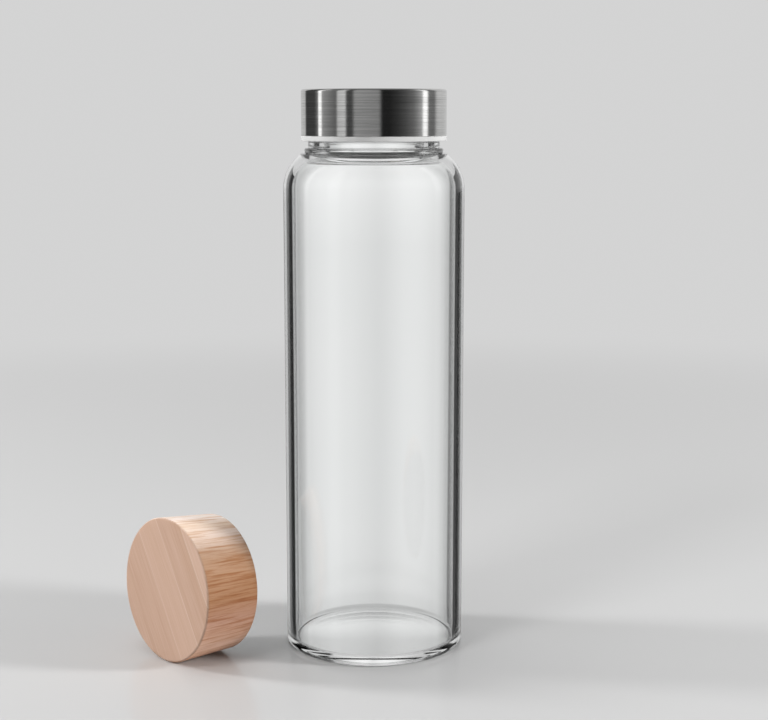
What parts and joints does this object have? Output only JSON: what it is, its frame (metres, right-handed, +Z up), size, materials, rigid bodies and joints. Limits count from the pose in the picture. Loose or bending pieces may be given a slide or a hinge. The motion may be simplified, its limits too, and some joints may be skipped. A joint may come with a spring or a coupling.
{
  "type": "glass water bottle",
  "caption": "Wide-mouth glass water bottle with a brushed steel screw lid, and a spare bamboo screw lid that fits the same threaded neck.",
  "frame": {"origin": "centre of the ring that the bottle stands on, on the table", "axes": "+Z up the bottle through its neck; the spare lid lies on the table towards -X and -Y"},
  "size_m": [0.1335, 0.0812, 0.2188],
  "materials": {
    "clear_glass": "clear, fire polished",
    "brushed_steel": "fine brushing round the lid",
    "grey_plastic": "satin moulded polypropylene",
    "white_plastic": "satin moulded polypropylene",
    "silicone": "translucent white silicone",
    "bamboo": "laminated bamboo, sanded and lightly oiled"
  },
  "bodies": {
    "glass": {"bottle": "clear_glass"},
    "gasket": {"lid_gasket": "silicone"},
    "steel_lid": {"lid_shell": "brushed_steel", "lid_liner": "grey_plastic"},
    "bamboo_lid": {"bamboo_top": "bamboo", "bamboo_liner": "white_plastic", "bamboo_gasket": "silicone"}
  },
  "joints": [
    {"name": "lid_rise", "type": "slide", "parent": "glass", "child": "gasket", "axis": [0, 0, 1], "range_m": [0, 0.018]},
    {"name": "lid_turn", "type": "hinge", "parent": "gasket", "child": "steel_lid", "pos_m": [0, 0, 0.2072], "axis": [0, 0, 1], "range_deg": [0, 1620]},
    {"name": "bamboo_lid_pick_up", "type": "slide", "parent": "glass", "child": "bamboo_lid", "axis": [0, 0, 1], "range_m": [0, 0.08]}
  ],
  "couplings": [
    {"joint": "lid_rise", "follows": "lid_turn", "m_per_rad": 0.00063662}
  ]
}
